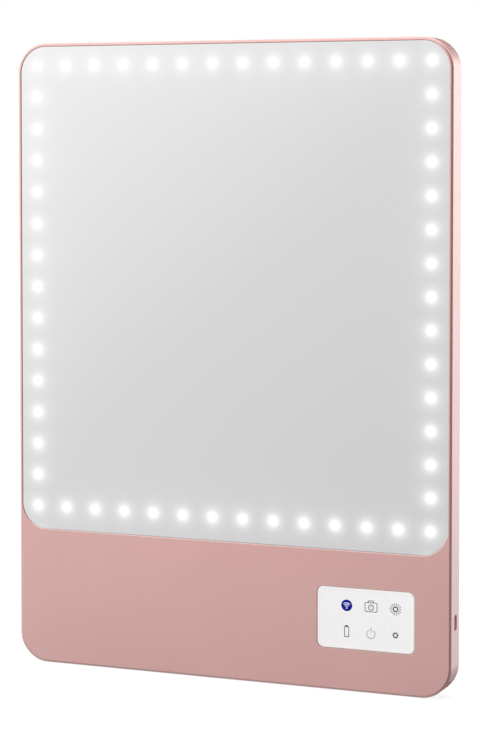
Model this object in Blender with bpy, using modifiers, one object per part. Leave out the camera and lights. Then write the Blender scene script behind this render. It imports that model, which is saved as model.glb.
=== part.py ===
"""Slim lighted vanity mirror: a flat metal tablet with an LED-lit mirror, a keypad and a kickstand.

Metres, +Z up. X runs across the mirror, -Y is the side one looks into, and the origin is the
middle of the bottom edge, on which the mirror stands. "Depth" is the distance behind the front face.
"""

import math

import bmesh
import bpy
from mathutils import Matrix, Vector

MM = 0.001
GAP = 0.3 * MM

# The tablet
WIDTH = 241.3 * MM
HEIGHT = 330.2 * MM
DEPTH = 14.6 * MM
CORNER = 16.0 * MM
FRONT_CHAMFER = 0.9 * MM
BACK_CHAMFER = 0.8 * MM
WALL = 1.6 * MM

# The mirror glass and the ledge behind it
GLASS_HALF = 118.5 * MM
GLASS_BOTTOM = 72.0 * MM
GLASS_TOP = 328.1 * MM
GLASS_CORNER = 13.7 * MM
GLASS_DEPTHS = (0.5 * MM, 3.3 * MM)
LEDGE_DEPTHS = (4.3 * MM, 5.5 * MM)
LEDGE_WIDTH = 3.2 * MM
SIGHT_CORNER = 8.0 * MM

# The lamps, a rectangle of small LEDs just inside the edge of the glass
LAMPS_ACROSS = 14
LAMPS_UP = 15
LAMP_HALF = 109.7 * MM
LAMP_BOTTOM = 84.1 * MM
LAMP_TOP = 318.5 * MM
LAMP_SIZE = 3.5 * MM
STRIP_WIDTH = 7.0 * MM
STRIP_DEPTHS = (4.5 * MM, 5.5 * MM)
LAMP_DEPTHS = (3.6 * MM, 4.55 * MM)
CARRIER_HALF = 117.0 * MM
CARRIER_Z = (74.5 * MM, 326.5 * MM)
CARRIER_DEPTHS = (5.8 * MM, 6.8 * MM)

# The control panel and its six places, in two rows of three
PANEL_X = 75.7 * MM
PANEL_Z = 37.2 * MM
PANEL_HALF = (26.0 * MM, 15.7 * MM)
PANEL_CORNER = 3.5 * MM
COLUMNS = (65.6 * MM, 78.6 * MM, 91.6 * MM)
ROWS = (30.6 * MM, 43.8 * MM)
KEY_HALF = (5.7 * MM, 5.5 * MM)
KEY_CORNER = 2.0 * MM
KEY_LIP = 0.5 * MM
KEY_DEPTHS = (0.05 * MM, 3.1 * MM)
KEYS = {
    "camera": (COLUMNS[1], ROWS[1]),
    "brighter": (COLUMNS[2], ROWS[1]),
    "power": (COLUMNS[1], ROWS[0]),
    "dimmer": (COLUMNS[2], ROWS[0]),
}
INDICATORS = {"wireless": (COLUMNS[0], ROWS[1]), "battery": (COLUMNS[0], ROWS[0])}

# The charging socket in the right wall
SOCKET_Z = 37.7 * MM
SOCKET_DEPTH = DEPTH / 2 + 0.6 * MM
SOCKET_HALF = (3.75 * MM, 1.35 * MM)
SLOT_MARGINS = (0.1 * MM, 0.6 * MM)

# The main circuit board
BOARD_X = (37.5 * MM, 116.5 * MM)
BOARD_Z = (12.0 * MM, 66.0 * MM)
BOARD_FRONT = SOCKET_DEPTH + SOCKET_HALF[1] + GAP
BOARD_DEPTHS = (BOARD_FRONT, BOARD_FRONT + MM)
SWITCH_BOARD_HALF = (24.5 * MM, 14.0 * MM)
SWITCH_BOARD_DEPTHS = (6.6 * MM, 7.4 * MM)
CONNECTOR_X = 42.0 * MM
BATTERY_PLUG_Z = 24.0 * MM
LAMP_PLUG_Z = 52.0 * MM

# The back cover and its screws
COVER_DEPTHS = (DEPTH - 1.5 * MM, DEPTH)
BOSS_HALF = 4.0 * MM
BOSS_DEPTHS = (DEPTH - 6.1 * MM, DEPTH - 1.8 * MM)
SCREW_PLACES = [
    *((x, z) for z in (110.0 * MM, 225.0 * MM) for x in (-115.0 * MM, 115.0 * MM)),
    *((x, z) for z in (5.6 * MM, 324.6 * MM) for x in (-62.0 * MM, 62.0 * MM)),
]
SCREW_HEAD = 1.9 * MM
SCREW_SHANK = 0.8 * MM
SCREW_SINK = (DEPTH - 1.2 * MM, DEPTH - 0.1 * MM)

# The kickstand, folded into a tray in the back
TRAY_HALF = 31.3 * MM
TRAY_Z = (4.9 * MM, 158.1 * MM)
TRAY_WALL = 1.0 * MM
TRAY_DEPTHS = (DEPTH - 5.4 * MM, DEPTH - 0.2 * MM)
TRAY_FLOOR = DEPTH - 4.3 * MM
FLANGE_DEPTHS = (DEPTH - 2.8 * MM, DEPTH - 1.8 * MM)
PIVOT_Z = 150.5 * MM
PIVOT_DEPTH = DEPTH - 2.0 * MM
PIN_RADIUS = 1.0 * MM
BORE_RADIUS = 1.3 * MM
BARREL_RADIUS = 1.9 * MM
BARREL_HALF = 16.0 * MM
LEG_HALF = 29.0 * MM
LEG_FOOT_Z = 9.5 * MM
LEG_SHOULDER_Z = 145.0 * MM
LEG_DEPTHS = (DEPTH - 2.7 * MM, DEPTH - 0.4 * MM)
LEG_HEEL = 2.4 * MM
NOTCH_RADIUS = 9.0 * MM
NOTCH_Z = 34.0 * MM

METAL = (0.72, 0.42, 0.39)
WHITE = (0.88, 0.88, 0.88)
BOARD_GREEN = (0.03, 0.16, 0.08)
BLACK = (0.02, 0.02, 0.02)
STEEL = (0.62, 0.62, 0.64)


def clear_scene():
    for obj in list(bpy.data.objects):
        bpy.data.objects.remove(obj, do_unlink=True)


def new_collection(name):
    collection = bpy.data.collections.new(name)
    bpy.context.scene.collection.children.link(collection)
    return collection


def depth(distance):
    """The Y of a point that lies this far behind the front face."""
    return distance - DEPTH / 2


def depths(pair):
    return depth(pair[0]), depth(pair[1])


def around(centre, half):
    return centre - half, centre + half


def grown(pair, by):
    return pair[0] - by, pair[1] + by


def finish(obj, colour, roughness, metallic=0.0):
    """Gives a piece its own material and smooth round faces."""
    material = bpy.data.materials.new(obj.name)
    material.use_nodes = True
    shader = material.node_tree.nodes["Principled BSDF"]
    shader.inputs["Base Color"].default_value = (*colour, 1.0)
    shader.inputs["Roughness"].default_value = roughness
    shader.inputs["Metallic"].default_value = metallic
    obj.data.materials.clear()
    obj.data.materials.append(material)
    if obj.type == "MESH":
        obj.data.shade_smooth()
        obj.data.set_sharp_from_angle(angle=math.radians(35))
    return obj


def add(name, mesh, location=(0, 0, 0)):
    obj = bpy.data.objects.new(name, mesh)
    obj.location = location
    pieces.objects.link(obj)
    return obj


def bevel_edges(bm, edges, width, steps):
    bmesh.ops.bevel(
        bm, geom=edges, offset=width, segments=steps, profile=0.5, affect="EDGES"
    )


def block(name, x, y, z, radius=0.0, along=1, steps=5, front=0.0, back=0.0):
    """A box whose four edges along one axis are rounded, and whose front and back rims can be chamfered."""
    low, high = Vector((x[0], y[0], z[0])), Vector((x[1], y[1], z[1]))
    size = high - low
    bm = bmesh.new()
    bmesh.ops.create_cube(bm, size=1.0, matrix=Matrix.Diagonal((*size, 1.0)))
    if radius:
        across = [
            e
            for e in bm.edges
            if abs(abs(e.verts[0].co[along] - e.verts[1].co[along]) - size[along])
            < 1e-7
        ]
        bevel_edges(bm, across, radius, steps)
    for side, width in ((-1, front), (1, back)):
        if width:
            rim = [
                e
                for e in bm.edges
                if all(abs(v.co.y - side * size.y / 2) < 1e-7 for v in e.verts)
            ]
            bevel_edges(bm, rim, width, 2)
    mesh = bpy.data.meshes.new(name)
    bm.to_mesh(mesh)
    bm.free()
    return add(name, mesh, (low + high) / 2)


def cylinder(name, centre, radius, length, axis="Y", sides=16):
    """A round bar centred on a point, along X, Y or Z."""
    turn = {
        "X": Matrix.Rotation(math.pi / 2, 4, "Y"),
        "Y": Matrix.Rotation(math.pi / 2, 4, "X"),
        "Z": Matrix.Identity(4),
    }
    bm = bmesh.new()
    bmesh.ops.create_cone(
        bm,
        cap_ends=True,
        segments=sides,
        radius1=radius,
        radius2=radius,
        depth=length,
        matrix=turn[axis],
    )
    mesh = bpy.data.meshes.new(name)
    bm.to_mesh(mesh)
    bm.free()
    return add(name, mesh, centre)


def as_cutter(obj):
    obj.hide_render = True
    obj.display_type = "WIRE"
    pieces.objects.unlink(obj)
    cutters.objects.link(obj)
    return obj


def combine(obj, other, operation):
    modifier = obj.modifiers.new(f"{operation.lower()} {other.name}", "BOOLEAN")
    modifier.operation = operation
    modifier.object = as_cutter(other)
    return obj


def cut(obj, *others):
    for other in others:
        combine(obj, other, "DIFFERENCE")
    return obj


def join(obj, *others):
    for other in others:
        combine(obj, other, "UNION")
    return obj


def ring(name, x, y, z, width, radius, steps=5):
    """A flat rounded frame of one width, such as a gasket."""
    outer = block(name, x, y, z, radius, steps=steps)
    inner = block(
        f"{name}_hole",
        grown(x, -width),
        grown(y, MM),
        grown(z, -width),
        radius - width,
        steps=steps,
    )
    return cut(outer, inner)


def wire(name, points, radius, colour):
    """An insulated wire along a smooth curve through a few points."""
    curve = bpy.data.curves.new(name, "CURVE")
    curve.dimensions = "3D"
    curve.bevel_depth = radius
    curve.bevel_resolution = 2
    curve.use_fill_caps = True
    path = smooth_path([Vector(p) for p in points], 4)
    spline = curve.splines.new("POLY")
    spline.points.add(len(path) - 1)
    for point, place in zip(spline.points, path):
        point.co = (*place, 1.0)
    return finish(add(name, curve), colour, 0.5)


def smooth_path(points, steps):
    """Catmull-Rom curve through the points, with straight ends."""
    ends = [2 * points[0] - points[1], *points, 2 * points[-1] - points[-2]]
    path = []
    for a, b, c, d in zip(ends, ends[1:], ends[2:], ends[3:]):
        for k in range(steps):
            t = k / steps
            path.append(
                b
                + (c - a) * (t / 2)
                + (2 * a - 5 * b + 4 * c - d) * (t * t / 2)
                + (3 * b - a - 3 * c + d) * (t**3 / 2)
            )
    return [*path, points[-1]]


# ---------------------------------------------------------------- the casing


def into_wall(pair, outside):
    """Stretches a boss's two faces as far as the middle of a side wall that they come near."""
    low, high = grown(outside, -WALL / 2)
    near = 2 * WALL
    return (
        low if pair[0] - low < near else pair[0],
        high if high - pair[1] < near else pair[1],
    )


def make_front_frame():
    """One piece: the face below the glass, the side walls, the ledge for the glass and the screw bosses."""
    full_x, full_z = around(0, WIDTH / 2), (0, HEIGHT)
    frame = block(
        "front_frame",
        full_x,
        depths((0, DEPTH)),
        full_z,
        CORNER,
        steps=8,
        front=FRONT_CHAMFER,
        back=BACK_CHAMFER,
    )
    seat_x, seat_z = (
        around(0, GLASS_HALF + GAP),
        grown((GLASS_BOTTOM, GLASS_TOP), GAP),
    )
    seat = block(
        "glass_seat",
        seat_x,
        depths((-MM, LEDGE_DEPTHS[0])),
        seat_z,
        GLASS_CORNER + GAP,
        steps=8,
    )
    sight = block(
        "sight_opening",
        grown(seat_x, -LEDGE_WIDTH - GAP),
        depths(grown(LEDGE_DEPTHS, MM)),
        grown(seat_z, -LEDGE_WIDTH - GAP),
        SIGHT_CORNER,
    )
    inside_x, inside_z = grown(full_x, -WALL), grown(full_z, -WALL)
    cavity = block(
        "rear_cavity",
        inside_x,
        depths((LEDGE_DEPTHS[1], DEPTH + MM)),
        inside_z,
        CORNER - WALL,
        steps=8,
    )
    pocket = block(
        "lower_pocket",
        inside_x,
        depths((WALL, LEDGE_DEPTHS[1] + MM)),
        (WALL, seat_z[0] - WALL),
        CORNER - WALL,
        steps=8,
    )
    panel_hole = block(
        "panel_hole",
        around(PANEL_X, PANEL_HALF[0] + GAP),
        depths((-MM, 3 * MM)),
        around(PANEL_Z, PANEL_HALF[1] + GAP),
        PANEL_CORNER + GAP,
    )
    socket_slot = block(
        "socket_slot",
        around(WIDTH / 2, 3 * MM),
        depths(around(SOCKET_DEPTH, SOCKET_HALF[1] + SLOT_MARGINS[1])),
        around(SOCKET_Z, SOCKET_HALF[0] + SLOT_MARGINS[0]),
        0.7 * MM,
        along=0,
        steps=3,
    )
    cut(frame, seat, sight, cavity, pocket, panel_hole, socket_slot)
    for number, (x, z) in enumerate(SCREW_PLACES, 1):
        boss_x = into_wall(around(x, BOSS_HALF), full_x)
        boss_z = into_wall(around(z, BOSS_HALF), full_z)
        join(frame, block(f"boss_{number}", boss_x, depths(BOSS_DEPTHS), boss_z))
    for number, (x, z) in enumerate(SCREW_PLACES, 1):
        hole = cylinder(
            f"boss_hole_{number}",
            (x, depth(DEPTH - 2.7 * MM), z),
            SCREW_SHANK + GAP,
            5 * MM,
            sides=10,
        )
        cut(frame, hole)
    finish(frame, METAL, 0.35, 0.85)


def make_back_cover():
    cover = block(
        "back_cover",
        around(0, WIDTH / 2 - WALL - GAP),
        depths(COVER_DEPTHS),
        (WALL + GAP, HEIGHT - WALL - GAP),
        CORNER - WALL - GAP,
        steps=8,
        back=0.3 * MM,
    )
    opening = block(
        "stand_opening",
        around(0, TRAY_HALF + GAP),
        depths(grown(COVER_DEPTHS, MM)),
        grown(TRAY_Z, GAP),
        4.3 * MM,
    )
    cut(cover, opening)
    for number, (x, z) in enumerate(SCREW_PLACES, 1):
        sink = turned(f"countersink_{number}", countersink_profile(), 12)
        sink.location = (x, 0, z)
        cut(cover, sink)
    finish(cover, METAL, 0.4, 0.85)


def turned(name, profile, sides):
    """A profile of (radius, Y) points, front to back, turned about the Y axis by a Screw modifier."""
    mesh = bpy.data.meshes.new(name)
    points = [(radius, 0, -y) for radius, y in reversed(profile)]
    edges = [(k, k + 1) for k in range(len(points) - 1)]
    mesh.from_pydata(points, edges, [])
    obj = add(name, mesh)
    screw = obj.modifiers.new("turn", "SCREW")
    screw.steps = sides
    screw.render_steps = sides
    screw.use_merge_vertices = True
    screw.merge_threshold = 0.01 * MM
    screw.use_normal_flip = True
    evaluated = obj.evaluated_get(bpy.context.evaluated_depsgraph_get())
    solid = bpy.data.meshes.new_from_object(evaluated)
    solid.transform(Matrix.Rotation(math.pi / 2, 4, "X"))
    bm = bmesh.new()
    bm.from_mesh(solid)
    bmesh.ops.recalc_face_normals(bm, faces=bm.faces)
    bm.to_mesh(solid)
    bm.free()
    obj.modifiers.clear()
    obj.data = solid
    return obj


def countersink_profile():
    wide, narrow = SCREW_HEAD + GAP, SCREW_SHANK + 0.45 * MM
    return [
        (0, depth(COVER_DEPTHS[0] - GAP)),
        (narrow, depth(COVER_DEPTHS[0] - GAP)),
        (narrow, depth(SCREW_SINK[0])),
        (wide, depth(SCREW_SINK[1] - 0.1 * MM)),
        (wide, depth(DEPTH + 0.5 * MM)),
        (0, depth(DEPTH + 0.5 * MM)),
    ]


def make_cover_screws():
    """Eight countersunk cross-head screws, which share one mesh."""
    profile = [
        (0, depth(DEPTH - 4.7 * MM)),
        (SCREW_SHANK, depth(DEPTH - 4.3 * MM)),
        (SCREW_SHANK, depth(SCREW_SINK[0])),
        (SCREW_HEAD, depth(SCREW_SINK[1] - 0.2 * MM)),
        (SCREW_HEAD, depth(SCREW_SINK[1])),
        (0, depth(SCREW_SINK[1])),
    ]
    pattern = turned("screw_pattern", profile, 12)
    top = depths((SCREW_SINK[1] - 0.6 * MM, DEPTH + 0.3 * MM))
    slot = block("screw_slot", around(0, 1.1 * MM), top, around(0, 0.22 * MM))
    cross = block("screw_cross", around(0, 0.22 * MM), top, around(0, 1.1 * MM))
    cut(pattern, slot, cross)
    evaluated = pattern.evaluated_get(bpy.context.evaluated_depsgraph_get())
    mesh = bpy.data.meshes.new_from_object(evaluated)
    bpy.data.objects.remove(pattern)
    for number, (x, z) in enumerate(SCREW_PLACES, 1):
        finish(add(f"cover_screw_{number}", mesh, (x, 0, z)), STEEL, 0.3, 1.0)


# ---------------------------------------------------------------- the mirror and its light


def make_mirror():
    glass_x, glass_z = around(0, GLASS_HALF), (GLASS_BOTTOM, GLASS_TOP)
    glass = block(
        "mirror_glass",
        glass_x,
        depths(GLASS_DEPTHS),
        glass_z,
        GLASS_CORNER,
        steps=8,
        front=0.3 * MM,
    )
    finish(glass, (0.86, 0.87, 0.87), 0.05, 1.0)
    tape_depths = (GLASS_DEPTHS[1] + GAP, LEDGE_DEPTHS[0] - GAP)
    tape = ring(
        "mirror_tape",
        grown(glass_x, -0.8 * MM),
        depths(tape_depths),
        grown(glass_z, -0.8 * MM),
        1.3 * MM,
        GLASS_CORNER - 0.8 * MM,
    )
    finish(tape, BLACK, 0.8)
    strip_inner = LAMP_HALF - STRIP_WIDTH / 2
    gasket = ring(
        "foam_gasket",
        around(0, strip_inner - MM),
        depths((GLASS_DEPTHS[1] + GAP, STRIP_DEPTHS[1])),
        grown((LAMP_BOTTOM, LAMP_TOP), -STRIP_WIDTH / 2 - MM),
        4 * MM,
        5 * MM,
        steps=3,
    )
    finish(gasket, BLACK, 0.9)
    carrier = block(
        "lamp_carrier",
        around(0, CARRIER_HALF),
        depths(CARRIER_DEPTHS),
        CARRIER_Z,
        12 * MM,
    )
    finish(carrier, (0.8, 0.8, 0.8), 0.35, 0.9)


def make_lamp_strip(name, x, z, lamps):
    """A narrow circuit board with its row of LEDs, which stand towards the glass."""
    strip = block(name, x, depths(STRIP_DEPTHS), z)
    for number, (lamp_x, lamp_z) in enumerate(lamps, 1):
        lamp = block(
            f"{name}_{number}",
            around(lamp_x, LAMP_SIZE / 2),
            depths(LAMP_DEPTHS),
            around(lamp_z, LAMP_SIZE / 2),
        )
        join(strip, lamp)
    finish(strip, (0.9, 0.9, 0.88), 0.5)


def make_lamps():
    pitch_x = 2 * LAMP_HALF / (LAMPS_ACROSS - 1)
    pitch_z = (LAMP_TOP - LAMP_BOTTOM) / (LAMPS_UP - 1)
    across = [k * pitch_x - LAMP_HALF for k in range(LAMPS_ACROSS)]
    up = [LAMP_BOTTOM + k * pitch_z for k in range(1, LAMPS_UP - 1)]
    long_x = around(0, LAMP_HALF + LAMP_SIZE / 2 + 0.2 * MM)
    half = STRIP_WIDTH / 2
    for name, z in (("lamp_strip_top", LAMP_TOP), ("lamp_strip_bottom", LAMP_BOTTOM)):
        make_lamp_strip(name, long_x, around(z, half), [(x, z) for x in across])
    side_z = grown((LAMP_BOTTOM, LAMP_TOP), -half - 0.5 * MM)
    for name, x in (("lamp_strip_left", -LAMP_HALF), ("lamp_strip_right", LAMP_HALF)):
        make_lamp_strip(name, around(x, half), side_z, [(x, z) for z in up])


# ---------------------------------------------------------------- the control panel


def make_control_panel():
    """The white face plate with a hole for each key, and a flange that holds it from behind."""
    panel_x, panel_z = around(PANEL_X, PANEL_HALF[0]), around(PANEL_Z, PANEL_HALF[1])
    panel = block(
        "control_panel",
        panel_x,
        depths((0.0, 2.4 * MM)),
        panel_z,
        PANEL_CORNER,
        front=0.5 * MM,
    )
    flange = block(
        "panel_flange",
        grown(panel_x, 1.5 * MM),
        depths((WALL + GAP, 2.7 * MM)),
        grown(panel_z, 1.5 * MM),
        PANEL_CORNER + 1.5 * MM,
    )
    join(panel, flange)
    for name, (x, z) in KEYS.items():
        hole = block(
            f"hole_{name}",
            around(x, KEY_HALF[0] + GAP),
            depths((-MM, 4 * MM)),
            around(z, KEY_HALF[1] + GAP),
            KEY_CORNER + GAP,
            steps=3,
        )
        cut(panel, hole)
    finish(panel, WHITE, 0.35)


def make_keys():
    """Each key is flush with the panel, and its lip behind the panel keeps it in."""
    for name, (x, z) in KEYS.items():
        key = block(
            f"key_{name}",
            around(x, KEY_HALF[0]),
            depths(KEY_DEPTHS),
            around(z, KEY_HALF[1]),
            KEY_CORNER,
            steps=3,
            front=0.15 * MM,
        )
        lip = block(
            f"lip_{name}",
            around(x, KEY_HALF[0] + KEY_LIP),
            depths((3.0 * MM, 3.6 * MM)),
            around(z, KEY_HALF[1] + KEY_LIP),
        )
        lip.parent = key
        lip.matrix_parent_inverse = Matrix.Translation(-key.location)
        finish(join(key, lip), WHITE, 0.35)


def make_switches():
    """A tact switch under each key: the housing stays, and its plunger travels with the key."""
    for name, (x, z) in KEYS.items():
        plunger = cylinder(
            f"switch_plunger_{name}",
            (x, depth(4.55 * MM), z),
            1.5 * MM,
            1.3 * MM,
            sides=12,
        )
        finish(plunger, BLACK, 0.5)
        housing = block(
            f"tact_switch_{name}",
            around(x, 3 * MM),
            depths((4.75 * MM, 6.3 * MM)),
            around(z, 3 * MM),
            0.5 * MM,
            steps=1,
        )
        bore = cylinder(
            f"switch_bore_{name}",
            (x, depth(5.0 * MM), z),
            1.9 * MM,
            2.0 * MM,
            sides=12,
        )
        finish(cut(housing, bore), STEEL, 0.35, 0.9)
    for name, (x, z) in INDICATORS.items():
        pipe = cylinder(
            f"light_pipe_{name}",
            (x, depth(4.1 * MM), z),
            1.5 * MM,
            2.2 * MM,
            sides=12,
        )
        finish(pipe, (0.9, 0.92, 0.95), 0.1)
        lamp = block(
            f"indicator_lamp_{name}",
            around(x, 1.6 * MM),
            depths((5.5 * MM, 6.3 * MM)),
            around(z, 1.4 * MM),
        )
        finish(lamp, (0.9, 0.9, 0.85), 0.4)
    board = block(
        "switch_board",
        around(PANEL_X, SWITCH_BOARD_HALF[0]),
        depths(SWITCH_BOARD_DEPTHS),
        around(PANEL_Z, SWITCH_BOARD_HALF[1]),
        2 * MM,
        steps=3,
    )
    finish(board, BOARD_GREEN, 0.4)


# ---------------------------------------------------------------- power and electronics


def make_electronics():
    board = block("main_board", BOARD_X, depths(BOARD_DEPTHS), BOARD_Z, 2 * MM, steps=3)
    finish(board, BOARD_GREEN, 0.4)
    on_board = BOARD_DEPTHS[0] - GAP
    wireless = block(
        "wireless_module",
        around(108.5 * MM, 6 * MM),
        depths((on_board - 1.5 * MM, on_board)),
        around(57 * MM, 5 * MM),
        0.5 * MM,
        steps=2,
        front=0.2 * MM,
    )
    finish(wireless, STEEL, 0.3, 1.0)
    chip = block(
        "charge_chip",
        around(108 * MM, 2.5 * MM),
        depths((on_board - 0.9 * MM, on_board)),
        around(22 * MM, 2.5 * MM),
    )
    finish(chip, BLACK, 0.4)
    for name, z in (("battery_connector", BATTERY_PLUG_Z), ("lamp_connector", LAMP_PLUG_Z)):
        plug = block(
            name,
            around(CONNECTOR_X, 3 * MM),
            depths((on_board - 3 * MM, on_board)),
            around(z, 4 * MM),
            0.5 * MM,
            steps=1,
        )
        finish(plug, WHITE, 0.5)
    make_charging_socket()
    make_keypad_ribbon()


def make_charging_socket():
    """A five-pin charging receptacle: a metal shell that is open to the right, with a tongue inside."""
    shell_x = (WIDTH / 2 - 7.6 * MM, WIDTH / 2 - WALL - GAP)
    shell_y = depths(around(SOCKET_DEPTH, SOCKET_HALF[1]))
    shell_z = around(SOCKET_Z, SOCKET_HALF[0])
    shell = block("charging_socket", shell_x, shell_y, shell_z, 0.6 * MM, along=0, steps=3)
    wall = 0.35 * MM
    mouth = block(
        "socket_mouth",
        (shell_x[0] + MM, shell_x[1] + MM),
        grown(shell_y, -wall),
        grown(shell_z, -wall),
        0.35 * MM,
        along=0,
        steps=3,
    )
    tongue = block(
        "socket_tongue",
        (shell_x[0] + 0.5 * MM, shell_x[1] - 0.8 * MM),
        depths(around(SOCKET_DEPTH + 0.2 * MM, 0.3 * MM)),
        around(SOCKET_Z, 1.9 * MM),
    )
    finish(join(cut(shell, mouth), tongue), STEEL, 0.3, 1.0)


def make_keypad_ribbon():
    """The flat cable that folds from the switch board's edge back to the main board."""
    left = PANEL_X - SWITCH_BOARD_HALF[0] - GAP
    front_run, back_run = sum(SWITCH_BOARD_DEPTHS) / 2, BOARD_DEPTHS[0] - 0.55 * MM
    turn = (back_run - front_run) / 2
    middle = (back_run + front_run) / 2
    fold = [
        (left - 2.2 * MM - turn * math.sin(a), middle - turn * math.cos(a))
        for a in (math.pi * k / 6 for k in range(7))
    ]
    outline = [(left, middle - turn), *fold, (left + 6 * MM, middle + turn)]
    bm = bmesh.new()
    verts = [bm.verts.new((x, depth(d), PANEL_Z - 4 * MM)) for x, d in outline]
    edges = [bm.edges.new(pair) for pair in zip(verts, verts[1:])]
    side = bmesh.ops.extrude_edge_only(bm, edges=edges)["geom"]
    across = [v for v in side if isinstance(v, bmesh.types.BMVert)]
    bmesh.ops.translate(bm, verts=across, vec=(0, 0, 8 * MM))
    mesh = bpy.data.meshes.new("keypad_ribbon")
    bm.to_mesh(mesh)
    bm.free()
    ribbon = add("keypad_ribbon", mesh)
    skin = ribbon.modifiers.new("thickness", "SOLIDIFY")
    skin.thickness = 0.2 * MM
    skin.offset = 0.0
    finish(ribbon, (0.5, 0.28, 0.06), 0.4)


def make_battery():
    battery_x, battery_z = (-104 * MM, 4 * MM), (11 * MM, 64 * MM)
    battery = block(
        "battery_pack",
        battery_x,
        depths((2.2 * MM, 6.7 * MM)),
        battery_z,
        2.5 * MM,
        steps=3,
        front=0.6 * MM,
        back=0.6 * MM,
    )
    finish(battery, (0.55, 0.57, 0.6), 0.35, 0.4)
    plug_face = CONNECTOR_X - 3 * MM - GAP
    for name, z, colour in (
        ("battery_lead_positive", BATTERY_PLUG_Z + 1.5 * MM, (0.6, 0.02, 0.02)),
        ("battery_lead_negative", BATTERY_PLUG_Z - 1.5 * MM, BLACK),
    ):
        route = [
            (battery_x[1] + GAP, depth(4.4 * MM), z),
            (13 * MM, depth(4.4 * MM), z),
            (22 * MM, depth(4.8 * MM), z + 2 * MM),
            (31 * MM, depth(6.8 * MM), z),
            (plug_face, depth(7.4 * MM), z),
        ]
        wire(name, route, 0.6 * MM, colour)


def make_lamp_lead():
    """The cable from the main board up to the carrier of the lamps."""
    pad = block(
        "lamp_terminal",
        around(CONNECTOR_X, 3 * MM),
        depths((CARRIER_DEPTHS[1] + GAP, 9.6 * MM)),
        around(90 * MM, 3 * MM),
        0.5 * MM,
        steps=1,
    )
    finish(pad, WHITE, 0.5)
    route = [
        (CONNECTOR_X, depth(7.4 * MM), LAMP_PLUG_Z + 4 * MM + GAP),
        (CONNECTOR_X + 0.5 * MM, depth(7.5 * MM), 62 * MM),
        (CONNECTOR_X + 3 * MM, depth(8.0 * MM), 71 * MM),
        (CONNECTOR_X + 0.5 * MM, depth(8.3 * MM), 80 * MM),
        (CONNECTOR_X, depth(8.4 * MM), 87 * MM - GAP),
    ]
    wire("lamp_lead", route, 0.8 * MM, BLACK)


# ---------------------------------------------------------------- the kickstand


def pivot_point(x=0.0):
    return (x, depth(PIVOT_DEPTH), PIVOT_Z)


def make_stand_tray():
    """The tub that the leg folds into, held under the cover by its flange."""
    tub_x, tub_z = around(0, TRAY_HALF), TRAY_Z
    tray = block("stand_tray", tub_x, depths(TRAY_DEPTHS), tub_z, 4 * MM)
    flange = block(
        "tray_flange",
        grown(tub_x, 4.7 * MM),
        depths(FLANGE_DEPTHS),
        (WALL + 0.6 * MM, TRAY_Z[1] + 4 * MM),
        4 * MM,
    )
    hollow = block(
        "tray_hollow",
        grown(tub_x, -TRAY_WALL),
        depths((TRAY_FLOOR, DEPTH + MM)),
        grown(tub_z, -TRAY_WALL),
        3 * MM,
    )
    cut(join(tray, flange), hollow)
    finish(tray, METAL, 0.45, 0.6)


def make_stand_bracket():
    """A strip with two ears, which carry the pin."""
    ear_inner = BARREL_HALF + 1.0 * MM
    ear_outer = ear_inner + 1.4 * MM
    base_depths = (TRAY_FLOOR + GAP, TRAY_FLOOR + 1.1 * MM)
    bracket = block(
        "stand_bracket",
        around(0, 22 * MM),
        depths(base_depths),
        (153.7 * MM, 156.7 * MM),
    )
    for side, (low, high) in (
        ("right", (ear_inner, ear_outer)),
        ("left", (-ear_outer, -ear_inner)),
    ):
        ear = block(
            f"ear_{side}",
            (low, high),
            depths((base_depths[0] + 0.1 * MM, LEG_DEPTHS[1])),
            (148.0 * MM, 156.2 * MM),
        )
        join(bracket, ear)
    bore = cylinder("ear_bore", pivot_point(), BORE_RADIUS, 60 * MM, "X", 12)
    finish(cut(bracket, bore), STEEL, 0.35, 1.0)


def make_stand_leg(pivot):
    """The leg's plate, its barrel on the pin, and the heel that stops it when it is open."""
    leg_y = depths(LEG_DEPTHS)
    leg = block(
        "stand_leg",
        around(0, LEG_HALF),
        leg_y,
        (LEG_FOOT_Z, LEG_SHOULDER_Z),
        3.5 * MM,
        front=0.3 * MM,
        back=0.5 * MM,
    )
    neck = block(
        "leg_neck",
        around(0, BARREL_HALF),
        grown(leg_y, -0.02 * MM),
        (LEG_SHOULDER_Z - 4 * MM, PIVOT_Z + LEG_HEEL),
    )
    barrel = cylinder(
        "leg_barrel", pivot_point(), BARREL_RADIUS, 2 * BARREL_HALF - 0.02 * MM, "X", 16
    )
    bore = cylinder("leg_bore", pivot_point(), BORE_RADIUS, 60 * MM, "X", 12)
    notch = cylinder(
        "finger_notch",
        (LEG_HALF, depth(LEG_DEPTHS[0]), NOTCH_Z),
        NOTCH_RADIUS,
        8 * MM,
        sides=24,
    )
    cut(join(leg, neck, barrel), bore, notch)
    finish(leg, METAL, 0.35, 0.85)
    pad = block(
        "stand_foot_pad",
        around(0, LEG_HALF - MM),
        leg_y,
        (6.6 * MM, LEG_FOOT_Z - GAP),
        0.8 * MM,
        along=0,
        steps=3,
    )
    finish(pad, BLACK, 0.8)
    for piece in (leg, pad):
        hang(piece, pivot)


def hang(piece, pivot):
    """Parents a piece to the empty on the hinge's axis, where it stays in place."""
    piece.parent = pivot
    piece.matrix_parent_inverse = Matrix.Translation(-pivot.location)


def make_stand_hinge():
    pin = cylinder("stand_pin", pivot_point(), PIN_RADIUS, 38 * MM, "X", 12)
    finish(pin, STEEL, 0.25, 1.0)
    for side, x in (("left", -1), ("right", 1)):
        washer = cylinder(
            f"friction_washer_{side}",
            pivot_point(x * (BARREL_HALF + 0.5 * MM)),
            BARREL_RADIUS - 0.1 * MM,
            0.4 * MM,
            "X",
            12,
        )
        bore = cylinder(
            f"washer_bore_{side}", pivot_point(x * BARREL_HALF), BORE_RADIUS, 4 * MM, "X", 12
        )
        finish(cut(washer, bore), (0.7, 0.6, 0.35), 0.3, 1.0)


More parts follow.
